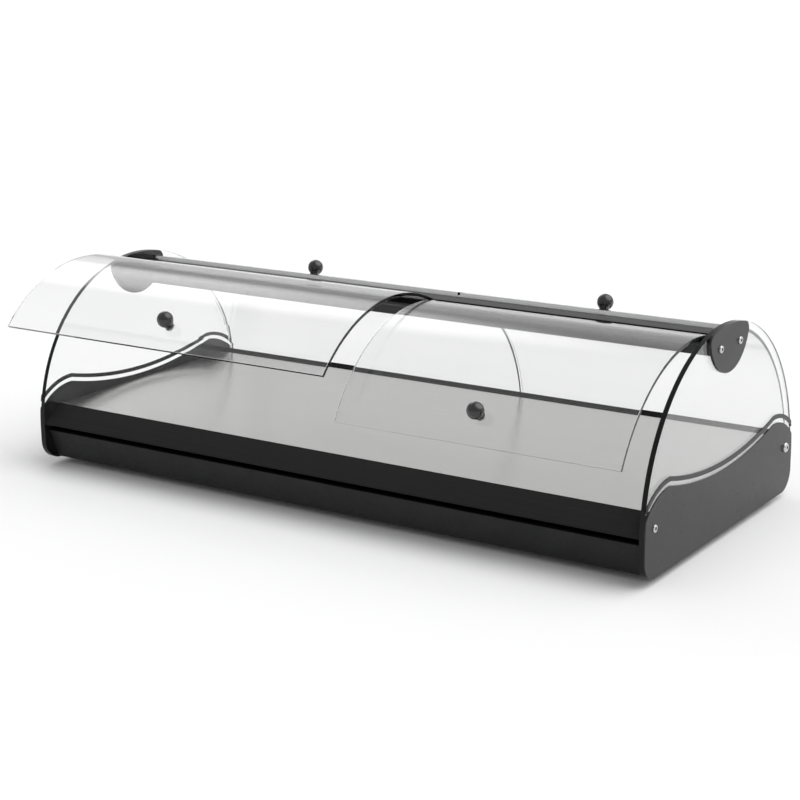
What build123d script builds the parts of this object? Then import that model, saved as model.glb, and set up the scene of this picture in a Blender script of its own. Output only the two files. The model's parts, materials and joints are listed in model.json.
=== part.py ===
from build123d import *
from math import cos, sin, radians, degrees, atan2, hypot, sqrt
import os

# Countertop display case for goods kept at room temperature, in millimetres.
# A low black base carries a stainless deck between two clear side panels, and a bar joins their
# tops. Four curved clear covers close it: two at the front turn about a rod in the bar, two at the
# rear turn about a rod at the back of the base. Each cover has a ball knob.
#
# Frame: X along the case, Y from front to back, Z up from the table. The covers are parts of one
# tube, and its centre line is at Y = 0, dome_height above the table. Sections are drawn across the
# case as (y, z) from that centre line.

# Overall sizes
clear_length = 860.0
panel_radius = 200.0
pan_depth = 45.0
foot_height = 9.0

# Clear side panels
panel_thickness = 6.0
panel_below_pan = 1.0
panel_corner_radius = 26.0

# Covers
cover_inset = 7.3
cover_thickness = 4.0
cover_end_gap = 2.0
split_x = 63.75
split_gap = 3.5
cover_low_angle = 4.3
cover_high_angle = 81.0
left_front_opening = 36.9
right_front_opening = 22.5

# Hinges: each axis lies inside the cover's curve, just past the cover's edge
hinge_inset = 10.6
hinge_past_edge = 0.6
rod_diameter = 8.0
rod_running_gap = 0.1
barrel_wall = 2.0
web_thickness = 3.0
strip_lip_length = 10.0
strip_lip_thickness = 1.0
strip_outer_lip_length = 6.0
strip_outer_lip_thickness = 1.2
strip_edge_thickness = 1.5
strip_end_gap = 2.0

# Bar
bar_cover_gap = 1.7
bar_half_width = 43.0
bar_depth = 24.0
bar_foot_rise = 8.3
groove_gap = 0.3
mouth_rear_angle = 36.0
mouth_front_angle = 126.0
buffer_width = 8.0
buffer_clearance = 0.3
buffer_setback = 1.0

# Bar caps
cap_thickness = 3.0
cap_circle_radius = 53.0
cap_circle_drop = 2.5
cap_corner_radius = 10.0

# Deck and rails
deck_top = 25.8
deck_thickness = 1.5
deck_side_gap = 0.5
ledge_width = 10.0
ledge_thickness = 2.0
rail_nose_inset = 1.0
rail_depth = 28.4
rail_lip = 0.5
rail_nose_top = 5.6
rail_underside = 3.6
rail_nose_radius = 3.0
rail_wall = 2.0
rail_boss_diameter = 11.0
rail_boss_web = 4.0
rear_rail_cover_gap = 0.9
rear_rail_lip = 13.5
rear_rail_rise = 3.4
rear_rail_ledge = 7.0
rear_rail_leg = 17.0
rear_rail_thickness = 2.0

# Base pan and slot
sheet_thickness = 1.5
pan_front_inset = 7.0
pan_front_lean = 16.1
pan_front_flange = 25.0
slot_height = 7.3
slot_depth = 21.0
slot_back_flange = 10.0

# Stiffeners under the deck and channels at its ends
stiffener_spacing = 215.0
stiffener_width = 40.0
stiffener_height = 16.0
end_channel_width = 20.0
end_channel_thickness = 2.0
end_channel_setback = 15.6

# End plates and trim strips, with the wave that they share
plate_thickness = 1.5
wave_trough = 30.7
wave_knee_inset = 59.5
wave_hump_inset = 56.6
wave_hump_radius = 74.0
wave_hump_drop = 24.9
wave_end_angle = 60.0
trim_gap = 5.2
trim_width = 5.2

# Screws
screw_diameter = 5.0
thread_gap = 0.05
screw_hole_gap = 0.3
thread_depth = 14.0
thread_spare = 2.0
screw_head_diameter = 9.1
cap_screw_head = 2.4
plate_screw_head = 1.4
pivot_head_diameter = 12.4
pivot_head_height = 3.6
head_rounding = 0.6
socket_radius = 1.75
hidden_screw_inset = 80.0
hidden_screw_drop = 15.0
hidden_head_diameter = 9.0
hidden_head_depth = 2.5
nut_across_flats = 8.0
nut_height = 4.0
nut_showing = 1.0

# Knobs
knob_diameter = 20.0
knob_rise = 10.3
knob_from_free_edge = 10.6
knob_neck_diameter = 11.0
knob_screw_head = 12.0
knob_screw_head_height = 2.5
knob_screw_length = 17.0
knob_bore_spare = 1.0

# Feet
foot_diameter = 30.0
foot_taper = 4.0
foot_inset_x = 45.0
foot_inset_y = 60.0
foot_recess_diameter = 13.0
foot_recess_depth = 5.0
foot_screw_head_height = 2.5

# Places that follow from the sizes above
half_length = clear_length / 2
plate_face = half_length + panel_thickness
dome_height = foot_height + pan_depth
cover_radius = panel_radius - cover_inset
cover_inner_radius = cover_radius - cover_thickness
hinge_radius = cover_inner_radius - hinge_inset
bore_radius = rod_diameter / 2 + rod_running_gap
barrel_radius = bore_radius + barrel_wall
bar_top_radius = cover_inner_radius - bar_cover_gap
deck_underside = deck_top - deck_thickness
rail_nose = -(panel_radius - rail_nose_inset)
deck_front = rail_nose + rail_depth
rear_rail_edge = sqrt(cover_inner_radius ** 2 - (deck_top + rear_rail_rise) ** 2) - rear_rail_cover_gap
deck_rear = rear_rail_edge - rear_rail_lip
pan_rear = deck_rear - rear_rail_ledge
pan_front_top = -(panel_radius - pan_front_inset)
pan_front_height = rail_underside - slot_height
foot_x = half_length - foot_inset_x
foot_y = panel_radius - foot_inset_y
clear_hole = screw_diameter / 2 + screw_hole_gap
tapped_hole = screw_diameter / 2 + thread_gap


def on_dome(side, radius, polar):
    """Point (y, z) at a radius and at an angle above the level, on the front (-1) or rear (1)."""
    return (side * radius * cos(radians(polar)), radius * sin(radians(polar)))


front_hinge = on_dome(-1, hinge_radius, cover_high_angle + hinge_past_edge)
rear_hinge = on_dome(1, hinge_radius, cover_low_angle - hinge_past_edge)
plate_screw_point = (-rear_hinge[0], rear_hinge[1])


def section(x, hinge=(0.0, 0.0), opening=0.0):
    """Plane across the case at x, turned about a hinge by an opening in degrees."""
    turn_cos = cos(radians(opening))
    turn_sin = sin(radians(opening))
    origin_y = hinge[0] - hinge[0] * turn_cos - hinge[1] * turn_sin
    origin_z = hinge[1] + hinge[0] * turn_sin - hinge[1] * turn_cos
    return Plane(
        origin=(x, origin_y, dome_height + origin_z),
        x_dir=(0, turn_cos, -turn_sin),
        z_dir=(1, 0, 0),
    )


def sheet(points, thickness):
    """Section of a folded sheet: its outer face follows the points, its metal is on their left."""
    with BuildSketch() as shape:
        with BuildLine():
            Polyline(*points)
            offset(amount=thickness, side=Side.LEFT, kind=Kind.INTERSECTION)
        make_face()
    return shape.sketch


def band(side, inner, outer, low, high):
    """Curved band between two radii and two angles."""
    middle = (low + high) / 2
    with BuildSketch() as shape:
        with BuildLine():
            ThreePointArc(on_dome(side, outer, low), on_dome(side, outer, middle),
                          on_dome(side, outer, high))
            Line(on_dome(side, outer, high), on_dome(side, inner, high))
            ThreePointArc(on_dome(side, inner, high), on_dome(side, inner, middle),
                          on_dome(side, inner, low))
            Line(on_dome(side, inner, low), on_dome(side, outer, low))
        make_face()
    return shape.sketch


def write(node, name):
    """Label a finished node and write its file."""
    node.part.label = name
    export_step(node.part, f"parts/{name}.step")


def panel_outline():
    """Outline of a side panel: a half round on straight sides, with rounded lower corners."""
    panel_foot = -pan_depth - panel_below_pan
    with BuildSketch() as shape:
        with BuildLine():
            ThreePointArc((-panel_radius, 0), (0, panel_radius), (panel_radius, 0))
            Polyline((panel_radius, 0), (panel_radius, panel_foot),
                     (-panel_radius, panel_foot), (-panel_radius, 0))
        make_face()
        fillet(shape.vertices().group_by(Axis.Y)[0], panel_corner_radius)
    return shape.sketch


def under_wave(rise):
    """Area under the wave of an end plate, with its edge moved outward by a rise."""
    hump_y = panel_radius - wave_hump_inset
    hump_radius = wave_hump_radius + rise
    knee_y = panel_radius - wave_knee_inset
    knee_z = sqrt(hump_radius ** 2 - (hump_y - knee_y) ** 2) - wave_hump_drop
    end_y = hump_y + hump_radius * sin(radians(wave_end_angle))
    end_z = hump_radius * cos(radians(wave_end_angle)) - wave_hump_drop
    middle_y = hump_y + hump_radius * sin(radians(wave_end_angle / 2))
    middle_z = hump_radius * cos(radians(wave_end_angle / 2)) - wave_hump_drop
    below = -pan_depth - panel_radius
    with BuildSketch() as shape:
        with BuildLine():
            ThreePointArc((-end_y, end_z), (-middle_y, middle_z), (-knee_y, knee_z))
            ThreePointArc((-knee_y, knee_z), (0, wave_trough + rise), (knee_y, knee_z))
            ThreePointArc((knee_y, knee_z), (middle_y, middle_z), (end_y, end_z))
            Polyline((end_y, end_z), (end_y, below), (-end_y, below), (-end_y, end_z))
        make_face()
    return shape.sketch


def end_screws(points, seat, outward, head_diameter, head_height, reach):
    """Screws along X with a domed hexagon-socket head, outward from a seat."""
    with BuildPart() as screws:
        with BuildSketch(section(seat)):
            with Locations(*points):
                Circle(head_diameter / 2)
        extrude(amount=outward * head_height)
        outer_face = screws.faces().group_by(Axis.X)[-1 if outward > 0 else 0]
        fillet(outer_face.edges(), head_height * head_rounding)
        with BuildSketch(section(seat)):
            with Locations(*points):
                Circle(screw_diameter / 2)
        extrude(amount=-outward * reach)
        with BuildSketch(section(seat + outward * head_height)):
            with Locations(*points):
                RegularPolygon(socket_radius, 6)
        extrude(amount=-outward * head_height, mode=Mode.SUBTRACT)
    return screws


os.makedirs("parts", exist_ok=True)

# Base pan: one folded sheet with a leaning front, a floor and a rear wall
with BuildPart() as base_pan:
    with BuildSketch(section(-half_length)):
        add(sheet([(pan_front_top + pan_front_flange, pan_front_height),
                   (pan_front_top, pan_front_height),
                   (pan_front_top + pan_front_lean, -pan_depth),
                   (pan_rear, -pan_depth),
                   (pan_rear, deck_underside - ledge_thickness)], sheet_thickness))
    extrude(amount=clear_length)
    with Locations((0, 0, foot_height + sheet_thickness)):
        with GridLocations(2 * foot_x, 2 * foot_y, 2, 2):
            Hole(clear_hole, depth=2 * sheet_thickness)
write(base_pan, "base_pan")

# Front rail: a hollow nose in front of the deck, with a ledge under it and a screw boss
rail_back = deck_front + rail_wall
with BuildPart() as front_rail:
    with BuildSketch(section(-half_length)) as rail_shape:
        with BuildLine():
            Polyline((deck_front, deck_top + rail_lip), (rail_nose, rail_nose_top),
                     (rail_nose, rail_underside), (rail_back, rail_underside),
                     (rail_back, deck_underside), (deck_front, deck_underside), close=True)
        make_face()
        offset(amount=-rail_wall, kind=Kind.INTERSECTION, mode=Mode.SUBTRACT)
        fillet(rail_shape.vertices().sort_by(Axis.X)[0:2].sort_by(Axis.Y)[-1], rail_nose_radius)
        with Locations((deck_front, deck_underside)):
            Rectangle(ledge_width, ledge_thickness, align=(Align.MIN, Align.MAX))
        with Locations(plate_screw_point):
            Circle(rail_boss_diameter / 2)
        with Locations((plate_screw_point[0], rail_underside)):
            Rectangle(rail_boss_web, plate_screw_point[1] - rail_underside,
                      align=(Align.CENTER, Align.MIN))
        with Locations(plate_screw_point):
            Circle(tapped_hole, mode=Mode.SUBTRACT)
    extrude(amount=clear_length)
write(front_rail, "front_rail")

# Slot back: a channel that closes the slot under the rail
slot_back_face = pan_front_top + slot_depth
with BuildPart() as slot_back:
    with BuildSketch(section(-half_length)):
        add(sheet([(slot_back_face + slot_back_flange, rail_underside),
                   (slot_back_face, rail_underside),
                   (slot_back_face, pan_front_height),
                   (slot_back_face + slot_back_flange, pan_front_height)], sheet_thickness))
    extrude(amount=clear_length)
write(slot_back, "slot_back")

# Rear rail: an angle behind the rear wall, with a raised lip that the deck ends against
with BuildPart() as rear_rail:
    with BuildSketch(section(-half_length)):
        with BuildLine():
            Polyline((pan_rear, deck_underside),
                     (deck_rear, deck_underside),
                     (deck_rear, deck_top),
                     (rear_rail_edge, deck_top + rear_rail_rise),
                     (rear_rail_edge, deck_top + rear_rail_rise - rear_rail_thickness),
                     (deck_rear + rear_rail_thickness, deck_underside - rear_rail_thickness),
                     (pan_rear + rear_rail_thickness, deck_underside - rear_rail_thickness),
                     (pan_rear + rear_rail_thickness, deck_underside - rear_rail_leg),
                     (pan_rear, deck_underside - rear_rail_leg), close=True)
        make_face()
    extrude(amount=clear_length)
write(rear_rail, "rear_rail")

# Deck: a flat stainless sheet between the rails
with BuildPart() as deck_plate:
    with BuildSketch(section(-half_length + deck_side_gap)):
        with Locations((deck_front, deck_underside)):
            Rectangle(deck_rear - deck_front, deck_thickness, align=(Align.MIN, Align.MIN))
    extrude(amount=clear_length - 2 * deck_side_gap)
write(deck_plate, "deck_plate")

# Stiffeners: channels spot-welded under the deck, open downward
stiffener_front = deck_front + ledge_width + sheet_thickness
stiffener_rear = pan_rear - 2 * sheet_thickness
for name, x in (("left", -stiffener_spacing), ("middle", 0.0), ("right", stiffener_spacing)):
    with BuildPart() as stiffener:
        with BuildSketch(Plane.XZ.offset(-stiffener_front)):
            with BuildLine():
                Polyline((x - stiffener_width / 2, dome_height + deck_underside - stiffener_height),
                         (x - stiffener_width / 2, dome_height + deck_underside),
                         (x + stiffener_width / 2, dome_height + deck_underside),
                         (x + stiffener_width / 2, dome_height + deck_underside - stiffener_height))
                offset(amount=sheet_thickness, side=Side.RIGHT, kind=Kind.INTERSECTION)
            make_face()
        extrude(amount=-(stiffener_rear - stiffener_front))
    write(stiffener, f"deck_stiffener_{name}")

# Side panels, end plates, trim strips, caps and their screws, at each end
cap_screw_points = [front_hinge, (-front_hinge[0], front_hinge[1])]
hidden_screw_reach = panel_radius - hidden_screw_inset
hidden_screw_points = [(y, -hidden_screw_drop) for y in (-hidden_screw_reach, 0.0, hidden_screw_reach)]
for name, outward in (("left", -1), ("right", 1)):
    inner_x = outward * half_length
    outer_x = outward * plate_face

    with BuildPart() as side_panel:
        with BuildSketch(section(inner_x)):
            add(panel_outline())
            with Locations(*cap_screw_points, plate_screw_point, rear_hinge, *hidden_screw_points):
                Circle(clear_hole, mode=Mode.SUBTRACT)
        extrude(amount=outward * panel_thickness)
        with BuildSketch(section(outer_x)):
            with Locations(*hidden_screw_points):
                Circle(hidden_head_diameter / 2 + screw_hole_gap)
        extrude(amount=-outward * (hidden_head_depth + screw_hole_gap), mode=Mode.SUBTRACT)
    write(side_panel, f"{name}_side_panel")

    with BuildPart() as end_plate:
        with BuildSketch(section(outer_x)):
            add(panel_outline())
            add(under_wave(0), mode=Mode.INTERSECT)
            with Locations(plate_screw_point, rear_hinge):
                Circle(clear_hole, mode=Mode.SUBTRACT)
        extrude(amount=outward * plate_thickness)
    write(end_plate, f"{name}_end_plate")

    with BuildPart() as trim_strip:
        with BuildSketch(section(outer_x)):
            add(panel_outline())
            add(under_wave(trim_gap + trim_width), mode=Mode.INTERSECT)
            add(under_wave(trim_gap), mode=Mode.SUBTRACT)
        extrude(amount=outward * plate_thickness)
    write(trim_strip, f"{name}_trim_strip")

    with BuildPart() as bar_cap:
        with BuildSketch(section(outer_x)) as cap_shape:
            with Locations((0, panel_radius - cap_circle_drop)):
                Circle(cap_circle_radius)
            Circle(panel_radius, mode=Mode.INTERSECT)
            fillet(cap_shape.vertices(), cap_corner_radius)
            with Locations(*cap_screw_points):
                Circle(clear_hole, mode=Mode.SUBTRACT)
        extrude(amount=outward * cap_thickness)
    write(bar_cap, f"{name}_bar_cap")

    cap_screws = end_screws(cap_screw_points, outer_x + outward * cap_thickness, outward,
                            screw_head_diameter, cap_screw_head,
                            cap_thickness + panel_thickness + thread_depth - thread_spare)
    write(cap_screws, f"{name}_cap_screws")

    plate_screw = end_screws([plate_screw_point], outer_x + outward * plate_thickness, outward,
                             screw_head_diameter, plate_screw_head,
                             plate_thickness + panel_thickness + thread_depth - thread_spare)
    write(plate_screw, f"{name}_plate_screw")

    pivot_screw = end_screws([rear_hinge], outer_x + outward * plate_thickness, outward,
                             pivot_head_diameter, pivot_head_height,
                             plate_thickness + panel_thickness + thread_depth - thread_spare)
    write(pivot_screw, f"{name}_pivot_screw")

    # End channel: carries the end of the deck and holds the side panel to the pan
    channel_web = inner_x - outward * end_channel_thickness
    channel_flange = inner_x - outward * end_channel_width
    channel_top = dome_height + deck_underside
    channel_foot = foot_height + sheet_thickness
    channel_half_length = -deck_front - end_channel_setback
    with BuildPart() as end_channel:
        with BuildSketch(Plane.XZ.offset(channel_half_length)):
            with BuildLine():
                Polyline((channel_flange, channel_top), (inner_x, channel_top),
                         (inner_x, channel_foot), (channel_flange, channel_foot),
                         (channel_flange, channel_foot + end_channel_thickness),
                         (channel_web, channel_foot + end_channel_thickness),
                         (channel_web, channel_top - end_channel_thickness),
                         (channel_flange, channel_top - end_channel_thickness), close=True)
            make_face()
        extrude(amount=-2 * channel_half_length)
        with BuildSketch(section(inner_x)):
            with Locations(*hidden_screw_points):
                Circle(clear_hole)
        extrude(amount=-outward * end_channel_thickness, mode=Mode.SUBTRACT)
        with Locations((outward * foot_x, 0, channel_foot + end_channel_thickness)):
            with GridLocations(0, 2 * foot_y, 1, 2):
                Hole(clear_hole, depth=2 * end_channel_thickness)
    write(end_channel, f"{name}_end_channel")

    # Hidden screws: flat heads sunk in the panel under the end plate, with a nut behind
    with BuildPart() as channel_screws:
        with BuildSketch(section(outer_x)):
            with Locations(*hidden_screw_points):
                Circle(hidden_head_diameter / 2)
        extrude(amount=-outward * hidden_head_depth)
        with BuildSketch(section(outer_x)):
            with Locations(*hidden_screw_points):
                Circle(screw_diameter / 2)
        extrude(amount=-outward * (panel_thickness + end_channel_thickness + nut_height
                                    + nut_showing))
    write(channel_screws, f"{name}_channel_screws")

    with BuildPart() as channel_nuts:
        with BuildSketch(section(channel_web)):
            with Locations(*hidden_screw_points):
                RegularPolygon(nut_across_flats / 2, 6, major_radius=False)
                Circle(tapped_hole, mode=Mode.SUBTRACT)
        extrude(amount=-outward * nut_height)
    write(channel_nuts, f"{name}_channel_nuts")

# Top bar: one extrusion with a round groove for the front hinge and a screw port behind it
mouth_reach = 2 * (bar_top_radius - hinge_radius) + barrel_radius
with BuildPart() as top_bar:
    bar_corner = sqrt(bar_top_radius ** 2 - bar_half_width ** 2)
    bar_middle_foot = bar_top_radius - bar_depth
    bar_side_foot = bar_middle_foot + bar_foot_rise
    with BuildSketch(section(-half_length)):
        with BuildLine():
            ThreePointArc((-bar_half_width, bar_corner), (0, bar_top_radius),
                          (bar_half_width, bar_corner))
            Polyline((bar_half_width, bar_corner), (bar_half_width, bar_side_foot),
                     (0, bar_middle_foot), (-bar_half_width, bar_side_foot),
                     (-bar_half_width, bar_corner))
        make_face()
        with Locations(front_hinge):
            Circle(barrel_radius + groove_gap, mode=Mode.SUBTRACT)
        with BuildLine():
            front_side = (front_hinge[0] + mouth_reach * cos(radians(mouth_front_angle)),
                          front_hinge[1] + mouth_reach * sin(radians(mouth_front_angle)))
            rear_side = (front_hinge[0] + 2 * mouth_reach * cos(radians(mouth_rear_angle)),
                         front_hinge[1] + 2 * mouth_reach * sin(radians(mouth_rear_angle)))
            Polyline(front_hinge, front_side, rear_side, close=True)
        make_face(mode=Mode.SUBTRACT)
        with Locations(cap_screw_points[1]):
            Circle(tapped_hole, mode=Mode.SUBTRACT)
    extrude(amount=clear_length)
write(top_bar, "top_bar")

# Buffer: a rubber strip on the bar that the rear covers lean on
buffer_low = degrees(atan2(bar_corner, bar_half_width) + buffer_setback / bar_top_radius)
buffer_high = buffer_low + degrees(buffer_width / bar_top_radius)
with BuildPart() as rear_buffer:
    with BuildSketch(section(-half_length + cover_end_gap)):
        add(band(1, bar_top_radius, cover_inner_radius - buffer_clearance,
                 buffer_low, buffer_high))
    extrude(amount=clear_length - 2 * cover_end_gap)
write(rear_buffer, "rear_buffer")

# Hinge rods, tapped at both ends for the screws that hold them
for name, hinge in (("front_hinge_rod", front_hinge), ("rear_hinge_rod", rear_hinge)):
    with BuildPart() as hinge_rod:
        with BuildSketch(section(-half_length)):
            with Locations(hinge):
                Circle(rod_diameter / 2)
        extrude(amount=clear_length)
        for end, inward in ((-half_length, 1), (half_length, -1)):
            with BuildSketch(section(end)):
                with Locations(hinge):
                    Circle(tapped_hole)
            extrude(amount=inward * thread_depth, mode=Mode.SUBTRACT)
    write(hinge_rod, name)

# Feet: rubber cones held by a screw up through the pan and the end channel
foot_places = [("front_left", -1, -1), ("front_right", 1, -1), ("rear_left", -1, 1),
               ("rear_right", 1, 1)]
foot_screw_bottom = foot_recess_depth - foot_screw_head_height
foot_nut_seat = foot_height + sheet_thickness + end_channel_thickness
foot_screw_top = foot_nut_seat + nut_height + nut_showing
for name, side_x, side_y in foot_places:
    with BuildPart() as foot:
        with BuildSketch(Plane(origin=(side_x * foot_x, side_y * foot_y, 0))):
            Circle((foot_diameter - foot_taper) / 2)
        with BuildSketch(Plane(origin=(side_x * foot_x, side_y * foot_y, foot_height))):
            Circle(foot_diameter / 2)
        loft()
        with Locations((side_x * foot_x, side_y * foot_y, 0)):
            Cylinder(foot_recess_diameter / 2, foot_recess_depth,
                     align=(Align.CENTER, Align.CENTER, Align.MIN), mode=Mode.SUBTRACT)
            Cylinder(clear_hole, foot_height,
                     align=(Align.CENTER, Align.CENTER, Align.MIN), mode=Mode.SUBTRACT)
    write(foot, f"{name}_foot")

with BuildPart() as foot_screws:
    with BuildSketch(Plane.XY.offset(foot_screw_bottom)):
        with GridLocations(2 * foot_x, 2 * foot_y, 2, 2):
            Circle(screw_head_diameter / 2)
    extrude(amount=foot_screw_head_height)
    with BuildSketch(Plane.XY.offset(foot_recess_depth)):
        with GridLocations(2 * foot_x, 2 * foot_y, 2, 2):
            Circle(screw_diameter / 2)
    extrude(amount=foot_screw_top - foot_recess_depth)
write(foot_screws, "foot_screws")

with BuildPart() as foot_nuts:
    with BuildSketch(Plane.XY.offset(foot_nut_seat)):
        with GridLocations(2 * foot_x, 2 * foot_y, 2, 2):
            RegularPolygon(nut_across_flats / 2, 6, major_radius=False)
            Circle(tapped_hole, mode=Mode.SUBTRACT)
    extrude(amount=nut_height)
write(foot_nuts, "foot_nuts")

# Covers: each one is a curved clear sheet, the strip bonded to its hinge edge, and its knob.
# The rear covers are the front ones turned upside down, so their knobs are near the top.
left_span = (-half_length + cover_end_gap, split_x - split_gap / 2)
right_span = (split_x + split_gap / 2, half_length - cover_end_gap)
cover_places = [
    ("front_left", -1, left_span, front_hinge, left_front_opening),
    ("front_right", -1, right_span, front_hinge, right_front_opening),
    ("rear_left", 1, left_span, rear_hinge, 0.0),
    ("rear_right", 1, right_span, rear_hinge, 0.0),
]
for name, side, span, hinge, opening in cover_places:
    length = span[1] - span[0]
    if side < 0:
        hinge_polar = cover_high_angle
        free_polar = cover_low_angle
    else:
        hinge_polar = cover_low_angle
        free_polar = cover_high_angle
    toward_free = 1 if free_polar > hinge_polar else -1
    knob_polar = free_polar - toward_free * knob_from_free_edge
    knob_x = (span[0] + span[1]) / 2
    knob_foot = on_dome(side, cover_radius, knob_polar)
    knob_plane_origin = section(knob_x, hinge, opening).from_local_coords(Vector(*knob_foot, 0))
    knob_axis_end = section(knob_x, hinge, opening).from_local_coords(
        Vector(*on_dome(side, cover_radius + knob_rise, knob_polar), 0))
    knob_axis = Vector(*knob_axis_end) - Vector(*knob_plane_origin)
    knob_seat = Plane(origin=knob_plane_origin, x_dir=(1, 0, 0), z_dir=knob_axis)
    head_sink = cover_inner_radius - sqrt(cover_inner_radius ** 2 - (knob_screw_head / 2) ** 2)
    inner_seat = knob_seat.offset(-cover_thickness - head_sink)

    with BuildPart() as cover:
        with BuildSketch(section(span[0], hinge, opening)):
            add(band(side, cover_inner_radius, cover_radius, cover_low_angle, cover_high_angle))
        extrude(amount=length)
        with BuildSketch(knob_seat.offset(cover_thickness)):
            Circle(clear_hole)
        extrude(amount=-3 * cover_thickness, mode=Mode.SUBTRACT)
    write(cover, f"{name}_cover")

    lip_angle = degrees(strip_lip_length / cover_inner_radius)
    outer_lip_angle = degrees(strip_outer_lip_length / cover_radius)
    edge_angle = degrees(strip_edge_thickness / cover_inner_radius)
    strip_outer_radius = cover_radius + strip_outer_lip_thickness
    lip_low, lip_high = sorted((hinge_polar, hinge_polar + toward_free * lip_angle))
    outer_low, outer_high = sorted((hinge_polar, hinge_polar + toward_free * outer_lip_angle))
    edge_low, edge_high = sorted((hinge_polar, hinge_polar - toward_free * edge_angle))
    lip_radius = cover_inner_radius - strip_lip_thickness
    web_tip = on_dome(side, lip_radius + strip_lip_thickness / 2, hinge_polar)
    web_direction = degrees(atan2(web_tip[1] - hinge[1], web_tip[0] - hinge[0]))
    web_length = hypot(web_tip[1] - hinge[1], web_tip[0] - hinge[0])
    with BuildPart() as hinge_strip:
        with BuildSketch(section(span[0] + strip_end_gap, hinge, opening)):
            with Locations(Location((hinge[0], hinge[1], 0), (0, 0, web_direction))):
                Rectangle(web_length, web_thickness, align=(Align.MIN, Align.CENTER))
            add(band(side, lip_radius, cover_inner_radius, lip_low, lip_high))
            add(band(side, cover_radius, strip_outer_radius, outer_low, outer_high))
            add(band(side, lip_radius, strip_outer_radius, edge_low, edge_high))
            with Locations(hinge):
                Circle(barrel_radius)
                Circle(bore_radius, mode=Mode.SUBTRACT)
            add(band(side, cover_inner_radius, cover_radius, cover_low_angle, cover_high_angle),
                mode=Mode.SUBTRACT)
        extrude(amount=length - 2 * strip_end_gap)
    write(hinge_strip, f"{name}_hinge_strip")

    with BuildPart() as knob:
        with BuildSketch(knob_seat):
            Circle(knob_neck_diameter / 2)
        extrude(amount=knob_rise)
        with Locations(knob_seat.offset(knob_rise)):
            Sphere(knob_diameter / 2)
        with BuildSketch(knob_seat.offset(-cover_thickness)):
            Circle(tapped_hole)
        extrude(amount=knob_screw_length, mode=Mode.SUBTRACT)
    write(knob, f"{name}_knob")

    with BuildPart() as knob_screw:
        with BuildSketch(inner_seat):
            Circle(knob_screw_head / 2)
        extrude(amount=-knob_screw_head_height)
        head_face = knob_screw.faces().sort_by(Axis(knob_seat.origin, knob_seat.z_dir))[0]
        fillet(head_face.edges(), knob_screw_head_height * 0.4)
        with BuildSketch(inner_seat):
            Circle(screw_diameter / 2)
        extrude(amount=knob_screw_length - knob_bore_spare)
    write(knob_screw, f"{name}_knob_screw")
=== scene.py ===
import json
import math
from types import SimpleNamespace

import bmesh
import bpy
from mathutils import Matrix, Vector


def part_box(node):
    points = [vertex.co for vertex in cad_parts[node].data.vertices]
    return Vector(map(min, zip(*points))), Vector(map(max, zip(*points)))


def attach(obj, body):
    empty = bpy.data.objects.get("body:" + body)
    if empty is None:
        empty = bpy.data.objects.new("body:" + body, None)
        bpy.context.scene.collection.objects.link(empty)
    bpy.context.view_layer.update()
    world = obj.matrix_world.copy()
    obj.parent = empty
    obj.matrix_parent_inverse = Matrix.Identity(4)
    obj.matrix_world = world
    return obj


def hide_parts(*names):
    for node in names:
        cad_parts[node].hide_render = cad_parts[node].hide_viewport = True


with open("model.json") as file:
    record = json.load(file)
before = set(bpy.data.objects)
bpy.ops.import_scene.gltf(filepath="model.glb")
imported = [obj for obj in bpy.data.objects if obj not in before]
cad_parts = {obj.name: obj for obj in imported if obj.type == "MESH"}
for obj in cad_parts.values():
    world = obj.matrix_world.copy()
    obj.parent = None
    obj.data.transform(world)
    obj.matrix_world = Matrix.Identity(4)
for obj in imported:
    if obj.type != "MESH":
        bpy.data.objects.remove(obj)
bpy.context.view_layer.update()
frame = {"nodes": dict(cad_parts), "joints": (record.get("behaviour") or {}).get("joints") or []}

# Feet: four black rubber cones, moulded with a ring round the side and a pocket below.
# Each is held by a screw up through its pocket, the pan and the end channel above it.
foot_bore = 0.0028
foot_pocket_radius = 0.0065
foot_pocket_depth = 0.005
foot_lip = 0.0007
foot_taper = 0.002
foot_edge = 0.0002
sharp_corner = math.radians(35)
# Down the side and round its ring: share of the height, and inset from the top's radius.
foot_side = ((0.70, 0.0004), (0.62, 0.0009), (0.50, 0.0011), (0.42, 0.0009))


def new_finish(name):
    """A material with its own shader nodes, to be wired up for one finish."""
    finish = bpy.data.materials.new(name)
    finish.use_nodes = True
    return finish


def shader_of(finish):
    return finish.node_tree.nodes["Principled BSDF"]


def plain_settings(finish, settings):
    """Set the shader's own sockets that hold one value all over the surface."""
    for socket, value in settings.items():
        shader_of(finish).inputs[socket].default_value = value


def join(finish, source, target):
    finish.node_tree.links.new(source, target)


def speckle(finish, size, stretch=(1, 1, 1), detail=4.0, roughness=0.6):
    """Cloudy pattern of a real size in metres, drawn out along the stretched axes."""
    nodes = finish.node_tree.nodes
    place = nodes.new("ShaderNodeTexCoord")
    scaled = nodes.new("ShaderNodeMapping")
    scaled.inputs["Scale"].default_value = [1 / (size * s) for s in stretch]
    noise = nodes.new("ShaderNodeTexNoise")
    noise.inputs["Scale"].default_value = 1.0
    noise.inputs["Detail"].default_value = detail
    noise.inputs["Roughness"].default_value = roughness
    join(finish, place.outputs["Object"], scaled.inputs["Vector"])
    join(finish, scaled.outputs["Vector"], noise.inputs["Vector"])
    return noise.outputs["Fac"]


def between(finish, pattern, low, high, target, edges=(0.3, 0.7)):
    """Drive a socket from a pattern, from one value to another."""
    spread = finish.node_tree.nodes.new("ShaderNodeMapRange")
    spread.inputs["From Min"].default_value = edges[0]
    spread.inputs["From Max"].default_value = edges[1]
    spread.inputs["To Min"].default_value = low
    spread.inputs["To Max"].default_value = high
    join(finish, pattern, spread.inputs["Value"])
    join(finish, spread.outputs["Result"], shader_of(finish).inputs[target])


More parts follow.
